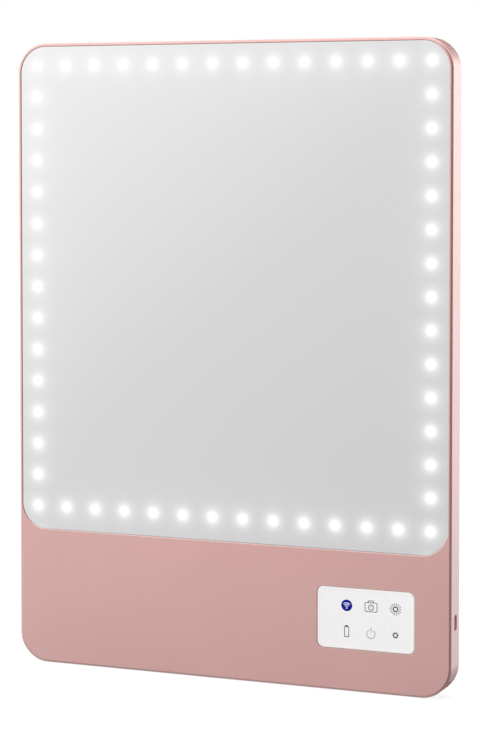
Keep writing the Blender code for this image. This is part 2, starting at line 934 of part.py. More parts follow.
def make_stand():
    pivot = bpy.data.objects.new("stand_pivot", None)
    pivot.location = pivot_point()
    pieces.objects.link(pivot)
    make_stand_tray()
    make_stand_bracket()
    make_stand_leg(pivot)
    make_stand_hinge()


clear_scene()
pieces = new_collection("lighted_vanity_mirror")
cutters = new_collection("cutters")
make_front_frame()
make_back_cover()
make_cover_screws()
make_mirror()
make_lamps()
make_control_panel()
make_keys()
make_switches()
make_electronics()
make_battery()
make_lamp_lead()
make_stand()
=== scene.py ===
"""Looks of the slim lighted vanity mirror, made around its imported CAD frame.

Metres, +Z up. -Y is the side one looks into, so what is near the front has the lowest y.
"""

import math

import bmesh
import bpy
from mathutils import Matrix, Vector


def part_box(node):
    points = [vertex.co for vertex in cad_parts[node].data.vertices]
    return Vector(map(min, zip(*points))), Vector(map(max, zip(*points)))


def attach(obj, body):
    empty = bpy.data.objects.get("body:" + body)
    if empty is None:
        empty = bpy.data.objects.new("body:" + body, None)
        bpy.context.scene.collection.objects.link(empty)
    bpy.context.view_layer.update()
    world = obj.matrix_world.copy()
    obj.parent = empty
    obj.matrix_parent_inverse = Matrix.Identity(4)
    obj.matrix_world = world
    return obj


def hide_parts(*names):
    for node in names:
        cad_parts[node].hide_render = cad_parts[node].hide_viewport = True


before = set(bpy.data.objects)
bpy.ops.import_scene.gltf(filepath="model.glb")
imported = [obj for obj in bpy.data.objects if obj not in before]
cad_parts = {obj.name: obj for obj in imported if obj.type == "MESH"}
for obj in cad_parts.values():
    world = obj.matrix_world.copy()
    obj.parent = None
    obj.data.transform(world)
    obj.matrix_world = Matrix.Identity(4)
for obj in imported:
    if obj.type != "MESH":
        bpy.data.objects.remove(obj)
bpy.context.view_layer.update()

MM = 0.001
CORNER_STEPS = 18

# The CAD's box of the casing, its round corners, and its walls, lips and gaps
CASE_LOW, CASE_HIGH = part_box("front_frame")
FRONT, BACK = CASE_LOW.y, CASE_HIGH.y
CASE_CORNER = 16.0 * MM
WALL = 1.6 * MM
GLASS_CORNER = 13.7 * MM
PANEL_CORNER = 3.5 * MM
PANEL_FLANGE = 1.5 * MM
KEY_CORNER = 2.0 * MM
KEY_LIP = 0.5 * MM
CAD_GAP = 0.3 * MM
INNER_CORNER = 8.0 * MM
SCREWS = range(1, 9)

# The lamps
LAMPS_ACROSS = 14
LAMPS_UP = 15
LAMP_RADIUS = 2.0 * MM

# Where the painted glow round each lamp starts on the glass, and over what distance it fades
GLOW_START = 2.3 * MM
GLOW_REACH = 1.9 * MM

# The hairlines round each key and round the glass, and the thickness of the ink
KEY_GAP = 0.015 * MM
SEAT_GAP = 0.01 * MM
PRINT_HEIGHT = 0.04 * MM


def depth(distance):
    """The y of what lies this far behind the front face."""
    return FRONT + distance


def section(plane, *points):
    """Points (inset, y) of a profile, from millimetres inward and behind a plane."""
    return [(inset * MM, plane + behind * MM) for inset, behind in points]


def inner(pair, by):
    """A span that is narrower by the same amount at both ends."""
    return pair[0] + by, pair[1] - by


def middle(node):
    low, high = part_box(node)
    return (low + high) / 2


def spans(node):
    """A node's span in x and its span in z."""
    low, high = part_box(node)
    return (low.x, high.x), (low.z, high.z)


# ---------------------------------------------------------------- mesh building


def rounded_outline(x, z, radius, steps=CORNER_STEPS):
    """Points (x, z) round a rectangle with round corners."""
    radius = max(radius, 0.02 * MM)  # never sharp, so that a corner's points stay apart
    corners = (
        (x[1] - radius, z[1] - radius),
        (x[0] + radius, z[1] - radius),
        (x[0] + radius, z[0] + radius),
        (x[1] - radius, z[0] + radius),
    )
    points = []
    for quarter, (cx, cz) in enumerate(corners):
        for k in range(steps + 1):
            a = (quarter + k / steps) * math.pi / 2
            points.append((cx + radius * math.cos(a), cz + radius * math.sin(a)))
    return points


def arc(centre, radius, start, end, steps=20):
    """Points (x, z) along an arc between two angles in degrees."""
    points = []
    for k in range(steps + 1):
        a = math.radians(start + (end - start) * k / steps)
        points.append((centre[0] + radius * math.cos(a), centre[1] + radius * math.sin(a)))
    return points


def circle(centre, radius, sides=32):
    """The corners of a regular polygon, each once."""
    return arc(centre, radius, 0, 360, sides)[:-1]


def new_object(name, bm):
    bmesh.ops.recalc_face_normals(bm, faces=bm.faces)
    mesh = bpy.data.meshes.new(name)
    bm.to_mesh(mesh)
    bm.free()
    obj = bpy.data.objects.new(name, mesh)
    bpy.context.scene.collection.objects.link(obj)
    return obj


def add_loft(bm, loops):
    """Adds a closed solid through loops of equally many points, capped at both ends."""
    rings = [[bm.verts.new(point) for point in loop] for loop in loops]
    count = len(rings[0])
    for a, b in zip(rings, rings[1:]):
        for k in range(count):
            bm.faces.new((a[k], a[(k + 1) % count], b[(k + 1) % count], b[k]))
    bm.faces.new(rings[0])
    bm.faces.new(rings[-1])


def loft(name, loops):
    bm = bmesh.new()
    add_loft(bm, loops)
    return new_object(name, bm)


def plate(name, x, z, radius, profile, steps=CORNER_STEPS):
    """A rounded plate that faces -Y. The profile lists (inset, y) from the front to the back."""
    loops = []
    for inset, y in profile:
        outline = rounded_outline(inner(x, inset), inner(z, inset), radius - inset, steps)
        loops.append([(px, y, pz) for px, pz in outline])
    return loft(name, loops)


def arc_profile(front, back, front_round, back_round, steps=4):
    """The profile of a plate whose front and back rims are rounded."""
    profile = []
    for k in range(steps + 1):
        a = k / steps * math.pi / 2
        inset = front_round * (1 - math.sin(a))
        profile.append((inset, front + front_round * (1 - math.cos(a))))
    for k in range(steps + 1):
        a = k / steps * math.pi / 2
        inset = back_round * (1 - math.cos(a))
        profile.append((inset, back - back_round * (1 - math.sin(a))))
    return profile


def cylinder(name, centre, radius, length, sides):
    """A cylinder along X."""
    bm = bmesh.new()
    matrix = Matrix.Translation(centre) @ Matrix.Rotation(math.pi / 2, 4, "Y")
    bmesh.ops.create_cone(
        bm,
        cap_ends=True,
        segments=sides,
        radius1=radius,
        radius2=radius,
        depth=length,
        matrix=matrix,
    )
    return new_object(name, bm)


def box_between(name, low, high):
    """A box between two opposite corners."""
    low, high = Vector(low), Vector(high)
    bm = bmesh.new()
    size = Matrix.Diagonal((*(high - low), 1.0))
    bmesh.ops.create_cube(bm, size=1.0, matrix=Matrix.Translation((low + high) / 2) @ size)
    return new_object(name, bm)


def boolean(obj, operation, others):
    """Joins or cuts with the other objects, which are used up."""
    for other in others:
        modifier = obj.modifiers.new(operation, "BOOLEAN")
        modifier.operation = operation
        modifier.object = other
    graph = bpy.context.evaluated_depsgraph_get()
    mesh = bpy.data.meshes.new_from_object(obj.evaluated_get(graph))
    obj.modifiers.clear()
    obj.data = mesh
    for other in others:
        bpy.data.objects.remove(other)
    return obj


def cut(obj, *others):
    return boolean(obj, "DIFFERENCE", others)


def join(obj, *others):
    return boolean(obj, "UNION", others)


def turned(name, profile, centre, sides=40):
    """A profile of (radius, y) turned about the Y axis through a point."""
    loops = []
    for radius, y in profile:
        ring = circle((centre[0], centre[2]), radius, sides)
        loops.append([(x, y, z) for x, z in ring])
    return loft(name, loops)


def dress(obj, material, body, slot, *nodes, sharp=32):
    """Finishes a piece: its material, smooth shading, its body and the CAD nodes it stands for."""
    obj.data.materials.clear()
    obj.data.materials.append(material)
    obj.data.shade_smooth()
    obj.data.set_sharp_from_angle(angle=math.radians(sharp))
    normals = obj.modifiers.new("face weighted normals", "WEIGHTED_NORMAL")
    normals.keep_sharp = True
    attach(obj, body)
    if nodes:
        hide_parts(*nodes)


# ---------------------------------------------------------------- materials

# Sockets of a Mix node that blends colours
COLOUR_A, COLOUR_B, COLOUR_RESULT = 6, 7, 2


def add_node(tree, kind, inputs=None, **settings):
    """A new shader node. Its inputs are values or the outputs of other nodes."""
    node = tree.nodes.new(f"ShaderNode{kind}")
    for key, value in settings.items():
        setattr(node, key, value)
    for key, value in (inputs or {}).items():
        if hasattr(value, "is_output"):
            tree.links.new(value, node.inputs[key])
        else:
            node.inputs[key].default_value = value
    return node


class Shader:
    """A Principled material and short ways to add nodes to it."""

    def __init__(self, name, colour, roughness, metallic=0.0):
        self.material = bpy.data.materials.new(name)
        self.material.use_nodes = True
        self.tree = self.material.node_tree
        self.principled = self.tree.nodes["Principled BSDF"]
        self.set("Base Color", (*colour, 1.0))
        self.set("Roughness", roughness)
        self.set("Metallic", metallic)
        self.place = self.tree.nodes.new("ShaderNodeTexCoord").outputs["Object"]

    def set(self, socket, value):
        self.principled.inputs[socket].default_value = value

    def link(self, output, socket):
        self.tree.links.new(output, self.principled.inputs[socket])

    def node(self, kind, inputs=None, **settings):
        return add_node(self.tree, kind, inputs, **settings)

    def maths(self, operation, a, b=0.0, clamp=False):
        node = self.node("Math", {0: a, 1: b}, operation=operation, use_clamp=clamp)
        return node.outputs[0]

    def noise(self, scale, detail=2.0, stretch=(1.0, 1.0, 1.0)):
        place = self.node("Mapping", {"Vector": self.place, "Scale": stretch})
        inputs = {"Vector": place.outputs[0], "Scale": scale, "Detail": detail}
        return self.node("TexNoise", inputs).outputs["Fac"]

    def spread(self, value, low, high, start=0.3, end=0.7):
        inputs = {"Value": value, "From Min": start, "From Max": end, "To Min": low, "To Max": high}
        return self.node("MapRange", inputs).outputs["Result"]

    def mix(self, factor, a, b):
        """Blends two colours, each a triple or another node's output."""
        a, b = ((*c, 1.0) if isinstance(c, tuple) else c for c in (a, b))
        inputs = {"Factor": factor, COLOUR_A: a, COLOUR_B: b}
        return self.node("Mix", inputs, data_type="RGBA").outputs[COLOUR_RESULT]

    def bump(self, height, distance):
        inputs = {"Height": height, "Distance": distance, "Strength": 0.5}
        self.link(self.node("Bump", inputs).outputs["Normal"], "Normal")


def scaled(colour, factor):
    return tuple(min(1.0, c * factor) for c in colour)


def grained(
    name, colour, roughness, metallic=0.0, grain=1800.0, relief=0.01, vary=0.04, stretch=(1, 1, 1)
):
    """A finish with fine grain, uneven gloss and a faint change of colour. Relief is in millimetres."""
    shader = Shader(name, colour, roughness, metallic)
    cloud = shader.noise(45.0, 3.0)
    fine = shader.noise(grain, 2.0, stretch)
    darker, lighter = scaled(colour, 1 - vary), scaled(colour, 1 + vary)
    shader.link(shader.mix(shader.spread(cloud, 0.0, 1.0), darker, lighter), "Base Color")
    both = shader.maths("MULTIPLY", shader.maths("ADD", cloud, fine), 0.5)
    shader.link(shader.spread(both, roughness * 0.88, roughness * 1.12), "Roughness")
    shader.bump(fine, relief * MM)
    return shader


def metallic_paint(name, colour, roughness=0.34):
    """Satin metallic paint: fine flakes of slightly different tone under a thin clear coat, and a
    painted highlight that makes the base colour paler where the surface is seen edge-on.
    """
    shader = Shader(name, colour, roughness, metallic=0.77)
    flakes = shader.node("TexVoronoi", {"Vector": shader.place, "Scale": 5200.0})
    cloud = shader.noise(22.0, 3.0)
    spark = shader.node("SeparateColor", {"Color": flakes.outputs["Color"]}).outputs[0]
    base = shader.mix(shader.spread(cloud, 0.0, 1.0), scaled(colour, 0.975), scaled(colour, 1.02))
    tone = shader.mix(shader.maths("MULTIPLY", spark, 0.12), base, scaled(colour, 1.25))
    # Painted highlight: the base colour is blended towards pale grey as the surface turns edge-on to
    # the view
    facing = shader.node("LayerWeight", {"Blend": 0.5}).outputs["Facing"]
    painted_sheen_colour = (0.72, 0.70, 0.69)
    painted_sheen = shader.spread(facing, 0.0, 0.42, start=0.08, end=0.5)
    shader.link(shader.mix(painted_sheen, tone, painted_sheen_colour), "Base Color")
    shader.link(shader.spread(shader.noise(700.0), roughness * 0.9, roughness * 1.1), "Roughness")
    shader.bump(shader.noise(420.0, 1.0), 0.002 * MM)
    shader.set("Coat Weight", 0.18)
    shader.set("Coat Roughness", 0.22)
    return shader.material


def lamp_distances(shader):
    """How far a point of the glass is from the nearest lamp and from the rectangle of lamps."""
    x, _, z = shader.node("SeparateXYZ", {"Vector": shader.place}).outputs
    half, low, high = lamp_rectangle()
    across = shader.maths("ADD", x, half)
    up = shader.maths("SUBTRACT", z, low)
    off_x = off_grid(shader, across, 2 * half / (LAMPS_ACROSS - 1))
    off_z = off_grid(shader, up, (high - low) / (LAMPS_UP - 1))
    half_up = (high - low) / 2
    from_centre = shader.maths("ABSOLUTE", shader.maths("SUBTRACT", up, half_up))
    to_end = shader.maths("SUBTRACT", from_centre, half_up)
    to_side = shader.maths("SUBTRACT", shader.maths("ABSOLUTE", x), half)
    row = length_of(shader, off_x, to_end)
    column = length_of(shader, off_z, to_side)
    near_end = shader.maths("ABSOLUTE", to_end)
    near_side = shader.maths("ABSOLUTE", to_side)
    lamp = shader.maths("MINIMUM", row, column)
    rectangle = shader.maths("MINIMUM", near_end, near_side)
    return lamp, rectangle


def off_grid(shader, value, pitch):
    """What a value is past the nearest whole number of pitches."""
    steps = shader.maths("ROUND", shader.maths("DIVIDE", value, pitch))
    return shader.maths("SUBTRACT", value, shader.maths("MULTIPLY", steps, pitch))


def length_of(shader, a, b):
    """The hypotenuse over two sides."""
    squares = shader.maths("ADD", shader.maths("MULTIPLY", a, a), shader.maths("MULTIPLY", b, b))
    return shader.maths("SQRT", squares)


def falloff(shader, distance, start, reach, amount):
    """A painted glow that is strongest at the start distance and fades by a factor e over each reach.
    """
    past = shader.maths("DIVIDE", shader.maths("SUBTRACT", distance, start), reach)
    fade = shader.maths("EXPONENT", shader.maths("MULTIPLY", past, -1.0), clamp=True)
    return shader.maths("MULTIPLY", fade, amount)


def mirror_material():
    """Silvered glass. Round each lamp the silvering gives way to a painted glow, an emission that fades
    with distance, and a faint mottled painted light spills round the rectangle of lamps.
    """
    silver = (0.94, 0.94, 0.945)
    shader = Shader("mirror_silver", silver, 0.03, metallic=1.0)
    shader.link(shader.spread(shader.noise(30.0, 4.0), 0.02, 0.05), "Roughness")
    to_lamp, to_rectangle = lamp_distances(shader)
    # Painted glow: round each lamp the glass loses its silvering and emits light, standing in for the
    # lamps' glare
    glow = shader.maths(
        "ADD",
        falloff(shader, to_lamp, GLOW_START, GLOW_REACH, 0.97),
        falloff(shader, to_lamp, GLOW_START, 4 * GLOW_REACH, 0.03),
        clamp=True,
    )
    shader.link(shader.mix(glow, silver, (0.0, 0.0, 0.0)), "Base Color")
    # A faint painted spill of light round the rectangle of lamps, mottled
    mottle = shader.spread(shader.noise(55.0, 5.0), 0.6, 1.4)
    spill = falloff(shader, to_rectangle, 3 * MM, 12.0 * MM, 0.03)
    painted_haze = shader.maths("MULTIPLY", spill, mottle)
    shader.set("Emission Color", (1.0, 1.0, 1.0, 1.0))
    shader.link(shader.maths("ADD", glow, painted_haze), "Emission Strength")
    return shader.material


def lamp_rectangle():
    """(half width, bottom, top) of the rectangle that the lamps' centres lie on."""
    return (
        middle("lamp_strip_right").x,
        middle("lamp_strip_bottom").z,
        middle("lamp_strip_top").z,
    )


def lamp_window_material():
    shader = Shader("lamp_window", (0.95, 0.95, 0.95), 0.6)
    frost = shader.spread(shader.noise(2500.0), 1.15, 1.35)
    shader.set("Emission Color", (1.0, 0.995, 0.98, 1.0))
    shader.link(frost, "Emission Strength")
    shader.bump(shader.noise(1500.0), 0.01 * MM)
    return shader.material


def panel_material(name):
    shader = grained(name, (0.885, 0.885, 0.885), 0.26, grain=900.0, relief=0.002, vary=0.01)
    shader.set("Coat Weight", 0.4)
    shader.set("Coat Roughness", 0.08)
    return shader.material


def ink(name, colour):
    shader = grained(name, colour, 0.6, grain=3000.0)
    shader.set("Specular IOR Level", 0.15)
    return shader.material


def board_material():
    """Green solder mask over copper tracks, with gilt pads."""
    mask, track, gilt = (0.03, 0.16, 0.08), (0.09, 0.32, 0.14), (0.75, 0.6, 0.3)
    shader = Shader("circuit_board", mask, 0.35)
    upright = {"Vector": shader.place, "Rotation": (math.pi / 2, 0, 0)}
    place = shader.node("Mapping", upright).outputs[0]
    tracks = shader.node("TexBrick", {"Vector": place, "Scale": 260.0, "Mortar Size": 0.06})
    printed_side = shader.mix(tracks.outputs["Fac"], mask, track)
    cells = shader.node("TexVoronoi", {"Vector": shader.place, "Scale": 420.0})
    pads = shader.spread(cells.outputs["Distance"], 1.0, 0.0, start=0.08, end=0.14)
    shader.link(shader.mix(pads, printed_side, gilt), "Base Color")
    shader.bump(tracks.outputs["Fac"], 0.03 * MM)
    return shader.material


def make_materials():
    rose = (0.99, 0.58, 0.55)
    materials = {
        "rose": metallic_paint("rose_paint", rose),
        "rose_back": metallic_paint("rose_paint_back", scaled(rose, 0.97), 0.38),
        "rose_tray": metallic_paint("rose_paint_tray", scaled(rose, 0.8), 0.45),
        "mirror": mirror_material(),
        "window": lamp_window_material(),
        "panel": panel_material("panel_gloss"),
        "key": panel_material("key_gloss"),
        "print_grey": ink("print_grey", (0.045, 0.045, 0.05)),
        "print_light": ink("print_light", (0.17, 0.17, 0.175)),
        "print_blue": ink("print_blue", (0.001, 0.007, 0.27)),
        "print_white": ink("print_white", (0.85, 0.87, 0.92)),
        "board": board_material(),
    }
    metallic = {
        "steel": ("bright_steel", (0.62, 0.62, 0.64), 0.28, 1.0, 1500.0, 0.004),
        "socket": ("socket_steel", (0.55, 0.52, 0.52), 0.32, 1.0, 2500.0, 0.004),
        "brass": ("washer_brass", (0.72, 0.55, 0.25), 0.3, 1.0, 2500.0, 0.004),
        "pouch": ("battery_pouch", (0.52, 0.54, 0.57), 0.36, 0.6, 300.0, 0.05, 0.06),
    }
    for key, values in metallic.items():
        materials[key] = grained(*values).material
    brushed = {"grain": 900.0, "relief": 0.006, "vary": 0.03, "stretch": (0.05, 1, 1)}
    sheet = grained("carrier_aluminium", (0.78, 0.78, 0.79), 0.33, 0.95, **brushed)
    materials["carrier"] = sheet.material
    plastics = {
        "rubber": ("foot_rubber", (0.022, 0.022, 0.024), 0.75, 2200.0, 0.03),
        "foam": ("black_foam", (0.03, 0.03, 0.03), 0.9, 1400.0, 0.12),
        "black": ("black_plastic", (0.02, 0.02, 0.022), 0.45, 2500.0, 0.01),
        "nylon": ("white_nylon", (0.82, 0.81, 0.77), 0.5, 1800.0, 0.01),
        "strip": ("lamp_strip", (0.85, 0.85, 0.82), 0.45, 1200.0, 0.01),
        "acrylic": ("clear_acrylic", (0.85, 0.9, 0.95), 0.12, 600.0, 0.002),
        "resin": ("lamp_resin", (0.85, 0.8, 0.4), 0.35, 2000.0, 0.01),
        "film": ("polyimide_film", (0.42, 0.2, 0.035), 0.3, 900.0, 0.01),
        "wire_red": ("wire_red", (0.5, 0.015, 0.015), 0.45, 1500.0, 0.01),
    }
    for key, (name, colour, roughness, grain, relief) in plastics.items():
        materials[key] = grained(name, colour, roughness, grain=grain, relief=relief).material
    return materials


# ---------------------------------------------------------------- the casing


def casing_profile():
    """The rounded front rim, from the flat face to the side wall, and the small one at the back."""
    near_face = section(FRONT, (1.25, 0), (1.05, 0.015), (0.86, 0.07), (0.67, 0.17))
    near_wall = section(FRONT, (0.48, 0.31), (0.29, 0.5), (0.12, 0.73), (0.03, 0.94), (0, 1.1))
    back_rim = section(BACK, (0, -0.9), (0.1, -0.5), (0.35, -0.16), (0.8, 0))
    return near_face + near_wall + back_rim


def make_casing(materials):
    """The outer shell, with a seat for the glass and holes for the panel and the socket."""
    x, z = spans("front_frame")
    casing = plate("casing", x, z, CASE_CORNER, casing_profile(), 28)
    gx, gz = glass_seat()
    ledge_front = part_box("mirror_tape")[1].y + CAD_GAP
    ledge_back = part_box("lamp_strip_top")[1].y
    bevel = section(FRONT, (-0.34, -1), (-0.34, 0), (-0.29, 0.03), (-0.03, 0.38), (0, 0.45))
    seat = plate("seat", gx, gz, GLASS_CORNER + CAD_GAP, [*bevel, (0, ledge_front)], 28)
    ledge = 3.5 * MM
    through = [(0, ledge_front - MM), (0, ledge_back + MM)]
    sight = plate("sight", inner(gx, ledge), inner(gz, ledge), INNER_CORNER, through)
    hollow_x, hollow_z = inner(x, WALL), inner(z, WALL)
    behind = [(0, ledge_back), (0, BACK + MM)]
    cavity = plate("cavity", hollow_x, hollow_z, CASE_CORNER - WALL, behind, 24)
    below = (hollow_z[0], gz[0] - WALL)
    under_face = [(0, depth(WALL)), (0, ledge_back + MM)]
    pocket = plate("pocket", hollow_x, below, INNER_CORNER, under_face)
    px, pz = panel_faces()
    slack = 0.12 * MM
    edge = section(FRONT, (-0.15, -1), (-0.12, 0), (0, 0.12), (0, 3))
    hole = plate("hole", inner(px, -slack), inner(pz, -slack), PANEL_CORNER + slack, edge)
    cut(casing, seat, sight, cavity, pocket, hole, socket_slot())
    dress(casing, materials["rose"], "root", "rose_metal", "front_frame")


def glass_seat():
    """The walls round the glass, which fills them but for a hairline."""
    x, z = spans("mirror_glass")
    return inner(x, -CAD_GAP), inner(z, -CAD_GAP)


def panel_faces():
    """The visible face of the control panel, which is smaller all round than its flange."""
    x, z = spans("control_panel")
    return inner(x, PANEL_FLANGE), inner(z, PANEL_FLANGE)


def socket_slot():
    """The hole in the right wall that the charging plug goes through, flared at its mouth."""
    low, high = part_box("charging_socket")
    slot_y, slot_z = inner((low.y, high.y), -0.55 * MM), inner((low.z, high.z), -0.08 * MM)
    outline = rounded_outline(slot_y, slot_z, 1.2 * MM, 10)
    centre = (low + high) / 2
    loops = []
    for past_wall, flare in ((-3, 0.0), (-0.25, 0.0), (0.1, 0.3 * MM)):
        loop = []
        for y, z in outline:
            away = Vector((0, y - centre.y, z - centre.z))
            away *= 1 + flare / away.length
            loop.append((CASE_HIGH.x + past_wall * MM, centre.y + away.y, centre.z + away.z))
        loops.append(loop)
    return loft("slot", loops)


def make_back_cover(materials):
    """The rear plate, with an opening for the stand's recess and a sink for each screw."""
    low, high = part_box("back_cover")
    profile = arc_profile(low.y, high.y, 0.1 * MM, 0.28 * MM)
    cover_corner = CASE_CORNER - WALL - CAD_GAP
    cover = plate("rear_cover", *spans("back_cover"), cover_corner, profile, 24)
    tray_x, tray_z = tray_mouth()
    slack = 0.15 * MM
    edge = [(0, low.y - MM), *section(high.y, (0, -0.2), (-0.2, 0), (-0.25, 1))]
    opening_x, opening_z = inner(tray_x, -slack), inner(tray_z, -slack)
    opening = plate("opening", opening_x, opening_z, TRAY_CORNER + slack, edge)
    sinks = []
    for number in SCREWS:
        profile = [(1.1 * MM, low.y - MM)]
        profile += section(high.y, (1.1, -1.2), (2.1, -0.2), (2.1, -0.12), (2.3, 0.1))
        sinks.append(turned(f"sink_{number}", profile, middle(f"cover_screw_{number}")))
    cut(cover, opening, *sinks)
    dress(cover, materials["rose_back"], "root", "rose_metal", "back_cover")


def make_screws(materials):
    """Countersunk screws with a cross recess and a turned rim."""
    for number in SCREWS:
        node = f"cover_screw_{number}"
        low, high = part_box(node)
        centre = (low + high) / 2
        shank = section(low.y, (0.05, 0), (0.8, 0.4))
        cone = section(high.y, (0.8, -1.1), (1.8, -0.2), (1.88, -0.12))
        rim = section(high.y, (1.88, -0.06), (1.8, 0), (1.2, 0))
        screw = turned(f"screw_{number}", shank + cone + rim, centre)
        # Each screw has stopped at an angle of its own
        turn = Matrix.Rotation(math.radians(37 * number), 4, "Y")
        place = Matrix.Translation((centre.x, high.y, centre.z)) @ turn
        reach, half_slot, sunk = 1.05 * MM, 0.2 * MM, 0.7 * MM
        for x, z in ((reach, half_slot), (half_slot, reach)):
            arm = box_between("arm", (-x, -sunk, -z), (x, MM, z))
            arm.data.transform(place)
            cut(screw, arm)
        dress(screw, materials["steel"], "root", "screw_steel", node)


# ---------------------------------------------------------------- the mirror and its lamps


def make_mirror(materials):
    """A pane whose front edge is ground to a narrow bevel."""
    low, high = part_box("mirror_glass")
    front = section(low.y, (0.4, 0), (0.33, 0.002), (0.03, 0.014), (0, 0.04))
    back = section(high.y, (0, -0.2), (0.2, 0))
    x, z = (inner(pair, SEAT_GAP) for pair in glass_seat())
    glass = plate("mirror_pane", x, z, GLASS_CORNER + CAD_GAP, front + back, 28)
    dress(glass, materials["mirror"], "root", "mirror_glass", "mirror_glass")


def lamp_places():
    """The centre (x, z) of each lamp, with the corners in the top and bottom rows."""
    half, low, high = lamp_rectangle()
    for k in range(LAMPS_ACROSS):
        x = 2 * half * k / (LAMPS_ACROSS - 1) - half
        yield x, low
        yield x, high
    for k in range(1, LAMPS_UP - 1):
        z = low + (high - low) * k / (LAMPS_UP - 1)
        yield -half, z
        yield half, z


def make_lamp_windows(materials):
    """A frosted spot in the silvering over each lamp, faintly domed, as (share of radius, mm)."""
    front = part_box("mirror_glass")[0].y
    bm = bmesh.new()
    dome = ((0.5, 0.065), (0.8, 0.045), (0.95, 0.02), (1.0, -0.02))
    for centre in lamp_places():
        loops = []
        for share, height in dome:
            ring = circle(centre, LAMP_RADIUS * share)
            loops.append([(x, front - height * MM, z) for x, z in ring])
        add_loft(bm, loops)
    windows = new_object("lamp_windows", bm)
    dress(windows, materials["window"], "root", "mirror_glass", sharp=60)


# ---------------------------------------------------------------- the control panel

KEYS = ("camera", "brighter", "power", "dimmer")
FACE_DEPTH = 0.14 * MM


def key_faces(name):
    """The visible outline of a key: the CAD key grown until only a hairline is left round it."""
    x, z = spans(f"key_{name}")
    inset = KEY_LIP - CAD_GAP + KEY_GAP
    return inner(x, inset), inner(z, inset)


def make_panel(materials):
    """A white plate with a soft raised bead round its edge."""
    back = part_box("control_panel")[1].y
    face = [(2.1 * MM, depth(FACE_DEPTH))]
    bead = section(FRONT, (1.6, 0.12), (1.2, 0.06), (0.85, 0.01), (0.55, 0.02))
    side = section(FRONT, (0.25, 0.12), (0.07, 0.3), (0, 0.55))
    profile = [*face, *bead, *side, (0.0, back)]
    panel = plate("touch_panel", *panel_faces(), PANEL_CORNER, profile, 20)
    held = [(0, depth(WALL + CAD_GAP)), (0, back - 0.01 * MM)]
    flange = plate("flange", *spans("control_panel"), PANEL_CORNER + PANEL_FLANGE, held)
    join(panel, flange)
    through = section(FRONT, (0, -1), (0, 4))
    holes = []
    for name in KEYS:
        x, z = (inner(pair, -KEY_GAP) for pair in key_faces(name))
        holes.append(plate(f"hole_{name}", x, z, KEY_CORNER + CAD_GAP, through, 8))
    cut(panel, *holes)
    dress(panel, materials["panel"], "root", "panel_white", "control_panel")


def make_keys(materials):
    """Flush keys, each on the wider lip that keeps it behind the panel."""
    radius = KEY_CORNER + CAD_GAP - KEY_GAP
    lip_front = 3.0 * MM
    profile = [(0.0, depth(FACE_DEPTH)), (0.0, depth(lip_front + 0.05 * MM))]
    for name in KEYS:
        low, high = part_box(f"key_{name}")
        key = plate(f"button_{name}", *key_faces(name), radius, profile, 8)
        lip = box_between("lip", (low.x, depth(lip_front), low.z), high)
        join(key, lip)
        dress(key, materials["key"], f"{name}_key", "panel_white", f"key_{name}")


def stroke(bm, points, width, closed=False):
    """A flat line of one width through points (x, z), mitred at its corners, in the plane y = 0."""
    count = len(points)
    sides = []
    for k, point in enumerate(points):
        before = points[k - 1] if k or closed else point
        after = points[(k + 1) % count] if k < count - 1 or closed else point
        into = Vector((point[0] - before[0], point[1] - before[1]))
        out = Vector((after[0] - point[0], after[1] - point[1]))
        along = into.normalized() + out.normalized()
        along.normalize()
        normal = Vector((-along.y, along.x))
        straight = out if out.length > 0 else into
        mitre = max(0.5, abs(normal.dot(Vector((-straight.y, straight.x)).normalized())))
        reach = normal * (width / 2 / mitre)
        left = bm.verts.new((point[0] + reach.x, 0, point[1] + reach.y))
        right = bm.verts.new((point[0] - reach.x, 0, point[1] - reach.y))
        sides.append((left, right))
    pairs = list(zip(sides, sides[1:]))
    if closed:
        pairs.append((sides[-1], sides[0]))
    for (a, b), (c, d) in pairs:
        bm.faces.new((a, b, d, c))


def disc(bm, centre, radius, sides=32):
    bm.faces.new([bm.verts.new((x, 0, z)) for x, z in circle(centre, radius, sides)])


def rays(bm, centre, radii, count, width):
    """Evenly spread lines between two radii."""
    for k in range(count):
        a = 2 * math.pi * k / count
        ends = [(centre[0] + r * math.cos(a), centre[1] + r * math.sin(a)) for r in radii]
        stroke(bm, ends, width)


def printed(name, bm, centre, material, body, layer=0):
    """Turns flat faces, drawn round (0, 0) in millimetres, into a layer of ink on the panel."""
    front = depth(FACE_DEPTH) - layer * PRINT_HEIGHT
    for vert in bm.verts:
        vert.co = (centre[0] + vert.co.x * MM, front, centre[1] + vert.co.z * MM)
    for face in bm.faces:
        face.normal_update()
        if face.normal.y > 0:
            face.normal_flip()
    raised = bmesh.ops.extrude_face_region(bm, geom=bm.faces[:])["geom"]
    verts = [v for v in raised if isinstance(v, bmesh.types.BMVert)]
    bmesh.ops.translate(bm, verts=verts, vec=(0, -PRINT_HEIGHT, 0))
    sign = new_object(name, bm)
    sign.data.materials.append(material)
    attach(sign, body)


def centre_of(node):
    point = middle(node)
    return point.x, point.z


def print_camera(materials):
    bm = bmesh.new()
    body = rounded_outline((-3.2, 3.2), (-2.3, 2.3), 0.7, 4)
    stroke(bm, body, 0.32, closed=True)
    stroke(bm, [(-1.6, 2.42), (-1.1, 3.25), (1.1, 3.25), (1.6, 2.42)], 0.32)
    stroke(bm, circle((0, -0.1), 1.35, 28), 0.34, closed=True)
    stroke(bm, arc((0, -0.1), 0.6, 20, 160, 10), 0.16)
    printed("symbol_camera", bm, centre_of("key_camera"), materials["print_grey"], "camera_key")


def print_sun(materials, name, ring, width, ray_radii, ray_count, ray_width):
    """A ring with rays round it."""
    bm = bmesh.new()
    stroke(bm, circle((0, 0), ring), width, closed=True)
    rays(bm, (0, 0), ray_radii, ray_count, ray_width)
    printed(f"symbol_{name}", bm, centre_of(f"key_{name}"), materials["print_grey"], f"{name}_key")


